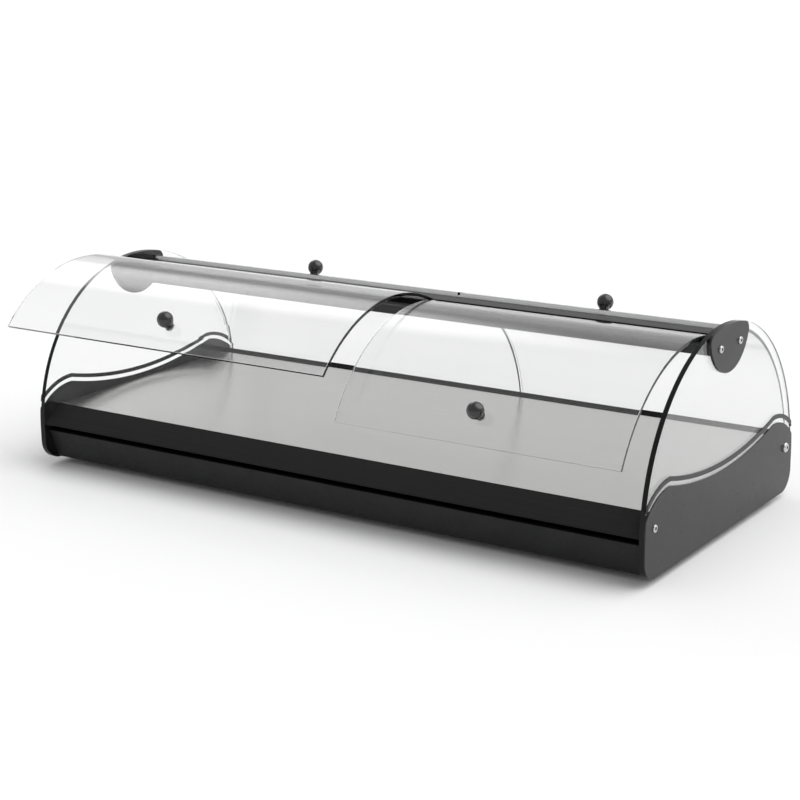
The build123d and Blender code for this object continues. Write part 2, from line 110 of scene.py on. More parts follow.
def shaded(finish, pattern, dark, light, edges=(0.3, 0.7)):
    """Colour that wanders between two shades along a pattern."""
    ramp = finish.node_tree.nodes.new("ShaderNodeValToRGB")
    ramp.color_ramp.elements[0].position = edges[0]
    ramp.color_ramp.elements[1].position = edges[1]
    ramp.color_ramp.elements[0].color = (*dark, 1)
    ramp.color_ramp.elements[1].color = (*light, 1)
    join(finish, pattern, ramp.inputs["Fac"])
    join(finish, ramp.outputs["Color"], shader_of(finish).inputs["Base Color"])


def raised(finish, pattern, height, strength=1.0):
    """Fine relief of a real height in metres."""
    bump = finish.node_tree.nodes.new("ShaderNodeBump")
    bump.inputs["Distance"].default_value = height
    bump.inputs["Strength"].default_value = strength
    join(finish, pattern, bump.inputs["Height"])
    join(finish, bump.outputs["Normal"], shader_of(finish).inputs["Normal"])


def finished_piece(name, work, finishes, edge_round=0.0):
    """Turn a mesh in the making into a smooth-shaded piece with its corners rounded over."""
    bmesh.ops.recalc_face_normals(work, faces=work.faces[:])
    mesh = bpy.data.meshes.new(name)
    work.to_mesh(mesh)
    work.free()
    mesh.shade_smooth()
    mesh.set_sharp_from_angle(angle=sharp_corner)
    for finish in filter(None, finishes):
        mesh.materials.append(finish)
    piece = bpy.data.objects.new(name, mesh)
    bpy.context.scene.collection.objects.link(piece)
    if edge_round:
        corner = piece.modifiers.new("rounded_edges", "BEVEL")
        corner.width = edge_round
        corner.segments = 3
        corner.limit_method = "ANGLE"
        corner.angle_limit = sharp_corner
        corner.harden_normals = True
    return piece


def turned(name, profile, seat, direction, finish, edge_round=0.0, steps=48, shaded_socket_finish=None):
    """Lathe-turned piece: radius and height pairs spun about a line.

    A third number gives a ring that many flat sides; what meets such a ring is a socket, which takes the
    second finish, the socket's painted shade.
    """
    work = bmesh.new()
    rings = []
    flat_sided = [len(point) > 2 for point in profile]
    for radius, height, *sides in profile:
        ring = []
        for i in range(1 if radius == 0 else steps):
            angle = 2 * math.pi * i / steps
            reach = radius
            if sides:
                flat = math.pi / sides[0]
                reach = radius * math.cos(flat) / math.cos((angle % (2 * flat)) - flat)
            ring.append(work.verts.new((reach * math.cos(angle), reach * math.sin(angle), height)))
        rings.append(ring)
    if profile[0][0] > 0 and profile[-1][0] > 0:
        rings.append(rings[0])
        flat_sided.append(flat_sided[0])
    for below, above, flat_below, flat_above in zip(rings, rings[1:], flat_sided, flat_sided[1:]):
        for i in range(steps):
            j = (i + 1) % steps
            corners = [below[i % len(below)], below[j % len(below)],
                       above[j % len(above)], above[i % len(above)]]
            band = work.faces.new(list(dict.fromkeys(corners)))
            band.material_index = 1 if shaded_socket_finish and (flat_below or flat_above) else 0
    turn = Vector((0, 0, 1)).rotation_difference(Vector(direction)).to_matrix().to_4x4()
    work.transform(Matrix.Translation(seat) @ turn)
    return finished_piece(name, work, [finish, shaded_socket_finish], edge_round)


def fit(piece, node, body):
    """Put a finished piece in the place of the solid it stands for."""
    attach(piece, body)
    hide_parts(node)


rubber = new_finish("moulded_rubber")
plain_settings(rubber, {"Specular IOR Level": 0.3, "Sheen Weight": 0.15})
shaded(rubber, speckle(rubber, 0.004), (0.012, 0.012, 0.013), (0.026, 0.026, 0.027))
between(rubber, speckle(rubber, 0.003), 0.62, 0.85, "Roughness")
raised(rubber, speckle(rubber, 0.0006), 0.00008)

for foot_name in ("front_left_foot", "front_right_foot", "rear_left_foot", "rear_right_foot"):
    foot_low, foot_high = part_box(foot_name)
    foot_height = foot_high.z - foot_low.z
    foot_top_radius = (foot_high.x - foot_low.x) / 2
    foot_base_radius = foot_top_radius - foot_taper
    foot_middle = (foot_low + foot_high) / 2
    foot = turned(f"{foot_name}_moulded", [
        (foot_bore, foot_height), (foot_top_radius - foot_lip, foot_height),
        (foot_top_radius, foot_height - foot_lip),
        *[(foot_top_radius - inset, foot_height * share) for share, inset in foot_side],
        (foot_base_radius, foot_lip), (foot_base_radius - foot_lip, 0),
        (foot_pocket_radius, 0), (foot_pocket_radius, foot_pocket_depth),
        (foot_bore, foot_pocket_depth),
    ], (foot_middle.x, foot_middle.y, foot_low.z), (0, 0, 1), rubber, foot_edge)
    fit(foot, foot_name, "root")


# Hidden fixings: the feet's screws and nuts, and the screws and nuts that hold the end channels.
# Stock stainless fixings, used as they come, so only their bright rolled finish is added.
def dress(node, finish):
    """Give a solid that keeps its own shape its finish."""
    for slot in frame["nodes"][node].material_slots:
        slot.material = finish


fixing_steel = new_finish("bright_stainless")
plain_settings(fixing_steel, {"Metallic": 1.0})
shaded(fixing_steel, speckle(fixing_steel, 0.0015), (0.50, 0.50, 0.50), (0.68, 0.68, 0.67))
between(fixing_steel, speckle(fixing_steel, 0.0008), 0.16, 0.34, "Roughness")
raised(fixing_steel, speckle(fixing_steel, 0.0004), 0.000015)

for fixing in ("foot_screws", "foot_nuts", "left_channel_screws", "right_channel_screws",
               "left_channel_nuts", "right_channel_nuts"):
    dress(fixing, fixing_steel)

# Stiffeners and end channels: folded steel channels, galvanised, with the zinc's spangle on them.
# The stiffeners are spot-welded under the deck; the end channels carry its ends and are screwed
# to the side panels and the feet, with the pan in between.
spangle_scale = 140.0

galvanised = new_finish("galvanised_steel")
plain_settings(galvanised, {"Metallic": 1.0})
spangle = galvanised.node_tree.nodes.new("ShaderNodeTexVoronoi")
spangle_place = galvanised.node_tree.nodes.new("ShaderNodeTexCoord")
spangle.inputs["Scale"].default_value = spangle_scale
join(galvanised, spangle_place.outputs["Object"], spangle.inputs["Vector"])
shaded(galvanised, spangle.outputs["Color"], (0.34, 0.35, 0.36), (0.52, 0.53, 0.54), (0.1, 0.9))
between(galvanised, spangle.outputs["Color"], 0.35, 0.55, "Roughness", (0.1, 0.9))
raised(galvanised, speckle(galvanised, 0.002), 0.00002)

for channel in ("deck_stiffener_left", "deck_stiffener_middle", "deck_stiffener_right",
                "left_end_channel", "right_end_channel"):
    dress(channel, galvanised)

# Base pan: one sheet of 1.5 mm steel, folded to a leaning front, a floor and a rear wall.
# Powder-coated matt black, with the small bends of a press brake; the flange and bend inside the slot are
# near-black, painted shade.
sheet_thickness = 0.0015
bend_radius = 0.0024
pan_flange = 0.025
pan_lean = 0.0161
coat_edge = 0.0003
slot_shade_facing = 0.2


def rounded(corners, radius, closed=True):
    """The outline through these corners, each rounded over to a radius."""
    outline = []
    for i, corner in enumerate(corners):
        if radius == 0 or (not closed and i in (0, len(corners) - 1)):
            outline.append(tuple(corner))
            continue
        here = Vector(corner)
        back = (Vector(corners[i - 1]) - here).normalized()
        onward = (Vector(corners[(i + 1) % len(corners)]) - here).normalized()
        half = back.angle(onward) / 2
        middle = here + (back + onward).normalized() * radius / math.sin(half)
        first = here + back * radius / math.tan(half) - middle
        last = here + onward * radius / math.tan(half) - middle
        start = math.degrees(math.atan2(first.y, first.x))
        end = math.degrees(math.atan2(last.y, last.x))
        turn = (end - start + 180) % 360 - 180
        outline += arc(middle, radius, start, start + turn, 15)
    return outline


def arc(centre, radius, start, end, step=2.0):
    """Points round a centre from one angle to another, in degrees."""
    count = max(2, math.ceil(abs(end - start) / step))
    angles = [math.radians(start + (end - start) * i / count) for i in range(count + 1)]
    return [(centre[0] + radius * math.cos(a), centre[1] + radius * math.sin(a)) for a in angles]


def folded(path, thickness, bend):
    """Section of a folded sheet: its outer face follows the path, its metal is on the left."""
    walls = [(Vector(b) - Vector(a)).normalized() for a, b in zip(path, path[1:])]
    inner = [Vector(path[0]) + thickness * walls[0].orthogonal()]
    for corner, before, after in zip(path[1:-1], walls, walls[1:]):
        half = before.angle(-after) / 2
        inner.append(Vector(corner) + (after - before).normalized() * thickness / math.sin(half))
    inner.append(Vector(path[-1]) + thickness * walls[-1].orthogonal())
    outer_face = rounded(path, bend, closed=False)
    inner_face = rounded([tuple(p) for p in inner], bend - thickness, closed=False)
    return outer_face + inner_face[::-1]


def run_of(name, outlines, x_from, x_to, finish, edge_round=0.0, cut_finish=None):
    """A length of constant section along the case: the outside outline, then any holes."""
    work = bmesh.new()
    rims = {x_from: [], x_to: []}
    for outline in outlines:
        rings = {x: [work.verts.new((x, y, z)) for y, z in outline] for x in rims}
        for i in range(len(outline)):
            wall = work.faces.new((rings[x_from][i - 1], rings[x_from][i],
                                   rings[x_to][i], rings[x_to][i - 1]))
            wall.material_index = 1 if cut_finish else 0
        for x, ring in rings.items():
            rims[x] += [work.edges.get((ring[i - 1], ring[i])) for i in range(len(ring))]
    for rim in rims.values():
        bmesh.ops.triangle_fill(work, use_beauty=True, edges=rim)
    return finished_piece(name, work, [finish, cut_finish], edge_round)


def powder_coating(name, dark, light, shine, roughness):
    """Baked powder: a shade that wanders a little, and the fine relief that the oven leaves."""
    finish = new_finish(name)
    plain_settings(finish, {"Specular IOR Level": shine})
    shaded(finish, speckle(finish, 0.03), dark, light)
    between(finish, speckle(finish, 0.006), *roughness, "Roughness")
    raised(finish, speckle(finish, 0.0014, detail=2.0), 0.00004)
    return finish


powder_coat = powder_coating("matt_black_powder_coat", (0.018, 0.018, 0.0185),
                             (0.023, 0.023, 0.0235), 0.16, (0.50, 0.64))
# A near-black copy of the pan's coat: painted shade for the inside of the slot.
slot_shade_coat = powder_coating("slot_painted_shade_powder_coat", (0.002, 0.002, 0.002),
                           (0.004, 0.004, 0.004), 0.02, (0.60, 0.75))

pan_low, pan_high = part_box("base_pan")
left_end = pan_low.x
right_end = pan_high.x
pan_front_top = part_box("slot_back")[0].z
pan_sheet = run_of("base_pan_folded", [folded([
    (pan_low.y + pan_flange, pan_front_top),
    (pan_low.y, pan_front_top),
    (pan_low.y + pan_lean, pan_low.z),
    (pan_high.y, pan_low.z),
    (pan_high.y, pan_high.z),
], sheet_thickness, bend_radius)], left_end, right_end, powder_coat, coat_edge)
pan_sheet.data.materials.append(slot_shade_coat)
# Faces of the flange and bend inside the slot that face up take the painted shade.
for face in pan_sheet.data.polygons:
    if face.normal.z > slot_shade_facing and face.center.z > pan_front_top - bend_radius:
        face.material_index = 1
fit(pan_sheet, "base_pan", "root")

# Slot back: a folded channel that closes the slot between the pan and the front rail.
# The same coated sheet as the pan, spot-welded to it, near-black all over as painted shade inside the slot.
slot_flange = 0.010
slot_low, slot_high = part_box("slot_back")
slot_channel = run_of("slot_back_folded", [folded([
    (slot_low.y + slot_flange, slot_high.z),
    (slot_low.y, slot_high.z),
    (slot_low.y, slot_low.z),
    (slot_low.y + slot_flange, slot_low.z),
], sheet_thickness, sheet_thickness)], left_end, right_end, slot_shade_coat, coat_edge)
fit(slot_channel, "slot_back", "root")

# Front rail: an aluminium extrusion with a sloped face, hollow, anodised black.
# A ledge at its back carries the deck, and the end screws go into the round port inside it.
rail_wall = 0.002
rail_nose_radius = 0.003
rail_nose_height = 0.002
ledge_width = 0.010
port_bore = 0.00255
port_radius = 0.0055
port_web = 0.004


def black_anodised(name, dark, light, shine):
    """Black anodising with the fine lines that the extrusion die leaves along the length."""
    finish = new_finish(name)
    plain_settings(finish, {"Specular IOR Level": shine})
    die_lines = speckle(finish, 0.0006, (900, 1, 1), 3.0)
    shaded(finish, die_lines, (dark, dark, dark), (light, light, light))
    between(finish, speckle(finish, 0.0012, (300, 1, 1)), 0.50, 0.62, "Roughness")
    raised(finish, die_lines, 0.000012)
    return finish


def bore(place, radius):
    """Outline of a drilled hole."""
    return arc(place, radius, 0, 350, 10)


def joint_of(name):
    """The hinge of this name, as the frame gives it."""
    return next(joint for joint in frame["joints"] if joint["name"] == name)


satin_anodised = black_anodised("black_satin_anodised", 0.0135, 0.0195, 0.06)

rail_low, rail_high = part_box("front_rail")
deck_low, deck_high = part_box("deck_plate")
rail_back = deck_low.y + rail_wall
rear_hinge = Vector(joint_of("rear_left_swing")["pos_m"])
plate_screw_place = (-rear_hinge.y, rear_hinge.z)
slope = Vector((deck_low.y - rail_low.y, rail_high.z - rail_low.z - rail_nose_height)).normalized()
slope_drop = rail_wall / slope.x
hollow_front = rail_low.y + rail_wall
hollow_back = deck_low.y
hollow_floor = rail_low.z + rail_wall


def under_slope(y):
    """Height of the hollow's sloped roof."""
    return rail_high.z - slope_drop - (deck_low.y - y) * slope.y / slope.x


web_reach = math.degrees(math.asin(port_web / 2 / port_radius))
hollow = [(hollow_front, hollow_floor), (plate_screw_place[0] - port_web / 2, hollow_floor)]
hollow += arc(plate_screw_place, port_radius, -90 - web_reach, -450 + web_reach, 10)
hollow += [(plate_screw_place[0] + port_web / 2, hollow_floor), (hollow_back, hollow_floor),
           (hollow_back, under_slope(hollow_back)),
           (hollow_front, max(under_slope(hollow_front), hollow_floor + coat_edge))]
rail_outside = [(deck_low.y, rail_high.z)]
rail_outside += rounded([(deck_low.y, rail_high.z), (rail_low.y, rail_low.z + rail_nose_height),
                         (rail_low.y, rail_low.z)], rail_nose_radius, closed=False)[1:-1]
rail_outside += [(rail_low.y, rail_low.z), (rail_back, rail_low.z),
                 (rail_back, deck_low.z - rail_wall),
                 (deck_low.y + ledge_width, deck_low.z - rail_wall),
                 (deck_low.y + ledge_width, deck_low.z), (deck_low.y, deck_low.z)]
front_rail = run_of("front_rail_extrusion", [rail_outside, hollow, bore(plate_screw_place, port_bore)],
                    left_end, right_end, satin_anodised, coat_edge)
fit(front_rail, "front_rail", "root")

# Rear rail: an extruded angle behind the pan's rear wall, with a raised lip that the deck meets.
# Anodised in a darker, duller copy of the front rail's black, as painted shade; it is the dark rim behind
# the deck.
rear_wall = 0.002
# The front rail's anodising, darker: painted shade.
rear_rail_shade_anodised = black_anodised("black_anodised_painted_shade", 0.003, 0.006, 0.02)
rear_low, rear_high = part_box("rear_rail")
rear_rail = run_of("rear_rail_extrusion", [[
    (rear_low.y, deck_low.z), (deck_high.y, deck_low.z), (deck_high.y, deck_high.z),
    (rear_high.y, rear_high.z), (rear_high.y, rear_high.z - rear_wall),
    (deck_high.y + rear_wall, deck_low.z - rear_wall), (rear_low.y + rear_wall, deck_low.z - rear_wall),
    (rear_low.y + rear_wall, rear_low.z), (rear_low.y, rear_low.z),
]], left_end, right_end, rear_rail_shade_anodised, coat_edge)
fit(rear_rail, "rear_rail", "root")

# Deck: a flat sheet of satin stainless steel between the rails, ground along its length.
# The grain blurs what stands on it, and its front edge shows as a thin bright line.
satin_steel = new_finish("satin_stainless")
plain_settings(satin_steel, {"Metallic": 1.0})
grain = speckle(satin_steel, 0.0005, (400, 1, 1), 5.0)
shaded(satin_steel, grain, (0.66, 0.66, 0.65), (0.74, 0.74, 0.73))
between(satin_steel, grain, 0.19, 0.25, "Roughness")
raised(satin_steel, grain, 0.0000008)

deck = run_of("deck_plate_sheet", [[
    (deck_low.y, deck_low.z), (deck_high.y, deck_low.z),
    (deck_high.y, deck_high.z), (deck_low.y, deck_high.z),
]], deck_low.x, deck_high.x, satin_steel, coat_edge)
fit(deck, "deck_plate", "root")

# Side panels: 6 mm clear cast acrylic, sawn to a half round with rounded lower corners.
# Their edges are tinted near-black, painted shade that reads as dark lines; the bar and the base are screwed
# between them.
panel_edge_round = 0.0006
panel_corner = 0.026
screw_clearance = 0.0028
hidden_screw_hole = 0.0048
hidden_screw_reach = 0.12


def clear_acrylic(name, body_tint, haze):
    """Polished acrylic: clear, with the faint wipe marks that cleaning leaves."""
    finish = new_finish(name)
    tree = finish.node_tree
    plain_settings(finish, {"Base Color": (*body_tint, 1), "IOR": 1.49, "Transmission Weight": 1.0})
    between(finish, speckle(finish, 0.05, (1, 1, 2.5)), 0.0, haze, "Roughness", (0.45, 0.8))
    path = tree.nodes.new("ShaderNodeLightPath")
    passed = tree.nodes.new("ShaderNodeBsdfTransparent")
    passed.inputs["Color"].default_value = (*body_tint, 1)
    for_lamps = tree.nodes.new("ShaderNodeMixShader")
    for_scatter = tree.nodes.new("ShaderNodeMixShader")
    join(finish, path.outputs["Is Shadow Ray"], for_lamps.inputs["Fac"])
    join(finish, shader_of(finish).outputs["BSDF"], for_lamps.inputs[1])
    join(finish, passed.outputs["BSDF"], for_lamps.inputs[2])
    join(finish, path.outputs["Is Diffuse Ray"], for_scatter.inputs["Fac"])
    join(finish, for_lamps.outputs["Shader"], for_scatter.inputs[1])
    join(finish, passed.outputs["BSDF"], for_scatter.inputs[2])
    join(finish, for_scatter.outputs["Shader"], tree.nodes["Material Output"].inputs["Surface"])
    return finish


panel_acrylic = clear_acrylic("clear_panel_acrylic", (0.957, 0.960, 0.959), 0.03)
# The panels' edge faces: acrylic tinted near-black, painted shade.
side_edge_shade = clear_acrylic("side_panel_edge_painted_shade", (0.009, 0.0095, 0.0095), 0.2)
plain_settings(side_edge_shade, {"Transmission Weight": 0.2, "Specular IOR Level": 0.1})
panel_low, panel_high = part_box("left_side_panel")
panel_radius = panel_high.y
covers_centre = panel_high.z - panel_radius
front_hinge = Vector(joint_of("front_left_lift")["pos_m"])
cap_screw_places = [(front_hinge.y, front_hinge.z), (-front_hinge.y, front_hinge.z)]
channel_screws_low, channel_screws_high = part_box("left_channel_screws")
hidden_screw_height = (channel_screws_low.z + channel_screws_high.z) / 2


def panel_foot():
    """The lower edge of a side panel, from its rear to its front, with rounded corners."""
    rear_corner = (panel_radius - panel_corner, panel_low.z + panel_corner)
    front_corner = (panel_corner - panel_radius, panel_low.z + panel_corner)
    return arc(rear_corner, panel_corner, 0, -90, 5) + arc(front_corner, panel_corner, -90, -180, 5)


panel_outline = arc((0, covers_centre), panel_radius, 180, 0, 1.5) + panel_foot()
panel_holes = [bore(place, screw_clearance)
               for place in [*cap_screw_places, plate_screw_place, (rear_hinge.y, rear_hinge.z)]]
panel_holes += [bore((y, hidden_screw_height), hidden_screw_hole)
                for y in (-hidden_screw_reach, 0.0, hidden_screw_reach)]
for side_name in ("left", "right"):
    side_low, side_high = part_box(f"{side_name}_side_panel")
    side_panel = run_of(f"{side_name}_side_panel_acrylic", [panel_outline, *panel_holes],
                        side_low.x, side_high.x, panel_acrylic, panel_edge_round, side_edge_shade)
    fit(side_panel, f"{side_name}_side_panel", "root")

# End plates: laser-cut steel outside the side panels, with a wave for their upper edge.
# Lacquered dark grey, half gloss, with a trim strip of the same stuff that follows the wave.
wave_trough = 0.0307
hump_inset = 0.0566
hump_radius = 0.074
hump_drop = 0.0249
knee_inset = 0.0595
trim_gap = 0.0052
trim_width = 0.0052
plate_edge = 0.00025

grey_lacquer = new_finish("half_gloss_grey_lacquer")
plain_settings(grey_lacquer, {"Specular IOR Level": 0.24})
shaded(grey_lacquer, speckle(grey_lacquer, 0.05), (0.019, 0.019, 0.0195), (0.026, 0.026, 0.0265))
between(grey_lacquer, speckle(grey_lacquer, 0.01), 0.20, 0.28, "Roughness")
raised(grey_lacquer, speckle(grey_lacquer, 0.0018, detail=2.0), 0.000002)


def three_point_arc(start, middle, end, step=2.0):
    """Arc through three points, from the first to the last."""
    a, b, c = Vector(start), Vector(middle), Vector(end)
    divisor = 2 * (a.x * (b.y - c.y) + b.x * (c.y - a.y) + c.x * (a.y - b.y))
    squares = (a.length_squared, b.length_squared, c.length_squared)
    across = squares[0] * (b.y - c.y) + squares[1] * (c.y - a.y) + squares[2] * (a.y - b.y)
    upward = squares[0] * (c.x - b.x) + squares[1] * (a.x - c.x) + squares[2] * (b.x - a.x)
    centre = Vector((across / divisor, upward / divisor))
    angles = [math.degrees(math.atan2(p.y - centre.y, p.x - centre.x)) for p in (a, b, c)]
    turn = (angles[2] - angles[0]) % 360
    if (angles[1] - angles[0]) % 360 > turn:
        turn -= 360
    return arc(centre, (a - centre).length, angles[0], angles[0] + turn, step)


def wave(rise):
    """The wave from the panel's front edge to its rear edge, moved outward by a rise."""
    hump = Vector((panel_radius - hump_inset, -hump_drop))
    radius = hump_radius + rise
    along = (panel_radius ** 2 - radius ** 2 + hump.length_squared) / (2 * hump.length)
    across = math.sqrt(panel_radius ** 2 - along ** 2)
    towards = hump.normalized()
    tip = towards * along + Vector((-towards.y, towards.x)) * across
    knee_y = panel_radius - knee_inset
    knee = (knee_y, math.sqrt(radius ** 2 - (hump.x - knee_y) ** 2) + hump.y)
    knee_angle = math.degrees(math.atan2(knee[1] - hump.y, knee[0] - hump.x))
    tip_angle = math.degrees(math.atan2(tip.y - hump.y, tip.x - hump.x))
    rear_hump = arc(hump, radius, knee_angle, tip_angle, 2)
    trough = three_point_arc((-knee[0], knee[1]), (0, wave_trough + rise), knee, 0.75)
    front_hump = [(-y, z) for y, z in rear_hump[::-1]]
    return [(y, z + covers_centre) for y, z in front_hump + trough[1:-1] + rear_hump]


def panel_edge(start, end):
    """The side panel's round edge between two of its points."""
    angles = [math.degrees(math.atan2(p[1] - covers_centre, p[0])) for p in (start, end)]
    turn = (angles[1] - angles[0] + 180) % 360 - 180
    return arc((0, covers_centre), panel_radius, angles[0], angles[0] + turn, 1.0)


plate_wave = wave(0)
plate_outline = plate_wave + panel_edge(plate_wave[-1], (panel_radius, covers_centre))[1:]
plate_outline += panel_foot() + panel_edge((-panel_radius, covers_centre), plate_wave[0])[:-1]
trim_low_wave = wave(trim_gap)
trim_high_wave = wave(trim_gap + trim_width)
trim_outline = trim_high_wave + panel_edge(trim_high_wave[-1], trim_low_wave[-1])[1:-1]
trim_outline += trim_low_wave[::-1] + panel_edge(trim_low_wave[0], trim_high_wave[0])[1:-1]
plate_holes = [bore(place, screw_clearance)
               for place in (plate_screw_place, (rear_hinge.y, rear_hinge.z))]
for side_name in ("left", "right"):
    plate_low, plate_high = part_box(f"{side_name}_end_plate")
    end_plate = run_of(f"{side_name}_end_plate_cut", [plate_outline, *plate_holes],
                       plate_low.x, plate_high.x, grey_lacquer, plate_edge)
    fit(end_plate, f"{side_name}_end_plate", "root")
    trim_strip = run_of(f"{side_name}_trim_strip_cut", [trim_outline],
                        plate_low.x, plate_high.x, grey_lacquer, plate_edge)
    fit(trim_strip, f"{side_name}_trim_strip", "root")

# Top bar: a black brushed aluminium extrusion between the tops of the side panels.
# A round groove at its front holds the hinge rod, and a port behind it takes the caps' rear screws.
bar_half_width = 0.043
bar_top_radius = 0.187
bar_side_foot = 0.1713
groove_radius = 0.0064
mouth_angles = (36.0, 126.0)
bar_edge = 0.0004

brushed_black = new_finish("black_brushed_aluminium")
plain_settings(brushed_black, {"Specular IOR Level": 0.34})
brushing = speckle(brushed_black, 0.0014, (600, 1, 1), 6.0, 0.7)
shaded(brushed_black, brushing, (0.006, 0.006, 0.0065), (0.035, 0.035, 0.036), (0.3, 0.75))
between(brushed_black, brushing, 0.34, 0.52, "Roughness")
raised(brushed_black, brushing, 0.00002)


def met(start, way, radius, middle):
    """Where a line that leaves a point meets a circle about a middle."""
    near = start - middle
    along = -near.dot(way) + math.sqrt(near.dot(way) ** 2 - near.length_squared + radius ** 2)
    return start + way * along


bar_low, bar_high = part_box("top_bar")
groove = Vector((front_hinge.y, front_hinge.z - covers_centre))
mouth_rear, mouth_front = [
    met(groove, Vector((math.cos(angle), math.sin(angle))), bar_top_radius, Vector((0, 0)))
    for angle in map(math.radians, mouth_angles)]
bar_corner = math.sqrt(bar_top_radius ** 2 - bar_half_width ** 2)
corner_angle = math.degrees(math.atan2(bar_corner, bar_half_width))
rear_angle = math.degrees(math.atan2(mouth_rear.y, mouth_rear.x))
front_angle = math.degrees(math.atan2(mouth_front.y, mouth_front.x))
bar_outline = arc((0, 0), bar_top_radius, corner_angle, rear_angle, 1.0)
bar_outline += arc(groove, groove_radius, mouth_angles[0], mouth_angles[1] - 360, 8)
bar_outline += arc((0, 0), bar_top_radius, front_angle, 180 - corner_angle, 1.0)
bar_outline += [(-bar_half_width, bar_side_foot), (0, bar_low.z - covers_centre),
                (bar_half_width, bar_side_foot)]
bar_port = bore((-groove.x, groove.y), port_bore)
top_bar = run_of("top_bar_extrusion", [[(y, z + covers_centre) for y, z in ring]
                                       for ring in (bar_outline, bar_port)],
                 bar_low.x, bar_high.x, brushed_black, bar_edge)
fit(top_bar, "top_bar", "root")

# Rear buffer: a thin strip of silicone rubber bonded to the bar's rear shoulder, near-white as painted light
# in the gap.
# The rear covers lean on it when they are shut, and it hardly shows below their clear edge.
buffer_setback = 0.001
buffer_width = 0.008
buffer_top_radius = 0.1884
buffer_edge = 0.0003

# Near-white: painted light below the rear covers' edge.
buffer_painted_light = new_finish("buffer_painted_light")
plain_settings(buffer_painted_light, {"Specular IOR Level": 0.3})
shaded(buffer_painted_light, speckle(buffer_painted_light, 0.004, (8, 1, 1)), (0.80, 0.80, 0.79), (0.90, 0.90, 0.89))
between(buffer_painted_light, speckle(buffer_painted_light, 0.002), 0.40, 0.60, "Roughness")
raised(buffer_painted_light, speckle(buffer_painted_light, 0.0006), 0.00004)

buffer_low, buffer_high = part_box("rear_buffer")
buffer_start = corner_angle + math.degrees(buffer_setback / bar_top_radius)
buffer_end = buffer_start + math.degrees(buffer_width / bar_top_radius)
buffer_outline = arc((0, covers_centre), bar_top_radius, buffer_start, buffer_end, 0.5)
buffer_outline += arc((0, covers_centre), buffer_top_radius, buffer_end, buffer_start, 0.5)
buffer_strip = run_of("rear_buffer_strip", [buffer_outline], buffer_low.x, buffer_high.x,
                      buffer_painted_light, buffer_edge)
fit(buffer_strip, "rear_buffer", "root")

# Hinge rods: 8 mm ground stainless rods, one in the bar's groove and one at the back of the base.
# Both ends are chamfered and tapped for the screws that come through the side panels.
rod_radius = 0.004
rod_chamfer = 0.0005
tapped_radius = 0.00255
tapped_depth = 0.014

ground_rod = new_finish("ground_stainless_rod")
plain_settings(ground_rod, {"Metallic": 1.0})
grinding = speckle(ground_rod, 0.0007, (0.4, 30, 30))
shaded(ground_rod, grinding, (0.40, 0.40, 0.40), (0.55, 0.55, 0.54))
between(ground_rod, grinding, 0.20, 0.34, "Roughness")
raised(ground_rod, grinding, 0.000006)

for rod_name, hinge in (("front_hinge_rod", front_hinge), ("rear_hinge_rod", rear_hinge)):
    length = right_end - left_end
    rod = turned(f"{rod_name}_ground", [
        (0, tapped_depth), (tapped_radius, tapped_depth), (tapped_radius, 0),
        (rod_radius - rod_chamfer, 0), (rod_radius, rod_chamfer),
        (rod_radius, length - rod_chamfer), (rod_radius - rod_chamfer, length),
        (tapped_radius, length), (tapped_radius, length - tapped_depth), (0, length - tapped_depth),
    ], (left_end, hinge.y, hinge.z), (1, 0, 0), ground_rod)
    fit(rod, rod_name, "root")

# Bar caps: 3 mm grey lacquered plates outside the side panels, rounded at their corners.
# Two screws through each cap and panel hold the bar and its hinge rod.
cap_circle = 0.053
cap_drop = 0.0025
cap_corner = 0.010
cap_edge = 0.0006

cap_centre = Vector((0, panel_radius - cap_drop))
corner_high = ((panel_radius - cap_corner) ** 2 - (cap_circle - cap_corner) ** 2
               + cap_centre.y ** 2) / (2 * cap_centre.y)
corner_place = Vector((math.sqrt((panel_radius - cap_corner) ** 2 - corner_high ** 2), corner_high))
upper_angle = math.degrees(math.atan2(corner_place.y, corner_place.x))
lower_way = corner_place - cap_centre
lower_angle = math.degrees(math.atan2(lower_way.y, lower_way.x))
cap_outline = arc((0, 0), panel_radius, 180 - upper_angle, upper_angle, 1.0)[:-1]
cap_outline += arc(corner_place, cap_corner, upper_angle, lower_angle, 8)
cap_outline += arc(cap_centre, cap_circle, lower_angle, -180 - lower_angle, 3)[1:-1]
cap_outline += arc((-corner_place.x, corner_place.y), cap_corner,
                   180 - lower_angle, 180 - upper_angle, 8)[:-1]
cap_holes = [bore((y, z - covers_centre), screw_clearance) for y, z in cap_screw_places]
for side_name in ("left", "right"):
    cap_low, cap_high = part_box(f"{side_name}_bar_cap")
    bar_cap = run_of(f"{side_name}_bar_cap_cut", [[(y, z + covers_centre) for y, z in ring]
                                                  for ring in (cap_outline, *cap_holes)],
                     cap_low.x, cap_high.x, grey_lacquer, cap_edge)
    fit(bar_cap, f"{side_name}_bar_cap", "root")

# Screws that show: stainless button heads with a hexagon socket, turned and rolled.
# Two hold each cap, one each plate's front, and a larger one is the rear covers' pivot.
# Their hexagon sockets are painted darker than the steel, as painted shade.
small_head_radius = 0.00455
cap_head_height = 0.0024
plate_head_height = 0.0014
pivot_head_radius = 0.0062
pivot_head_height = 0.0036
head_round_share = 0.6
head_rim = 0.0002
socket_sides = 6
socket_radius = 0.00175
socket_foot_share = 0.9
socket_point_share = 0.3
socket_floor_share = 0.45
socket_lip = 0.0002
shank_radius = 0.0025
shank_chamfer = 0.0004

# Darkened steel for inside the sockets: painted shade.
socket_shade = new_finish("socket_painted_shade_steel")
plain_settings(socket_shade, {"Metallic": 0.6, "Specular IOR Level": 0.2})
shaded(socket_shade, speckle(socket_shade, 0.0008), (0.020, 0.020, 0.020), (0.045, 0.045, 0.044))
between(socket_shade, speckle(socket_shade, 0.0005), 0.40, 0.60, "Roughness")
raised(socket_shade, speckle(socket_shade, 0.0003), 0.00001)


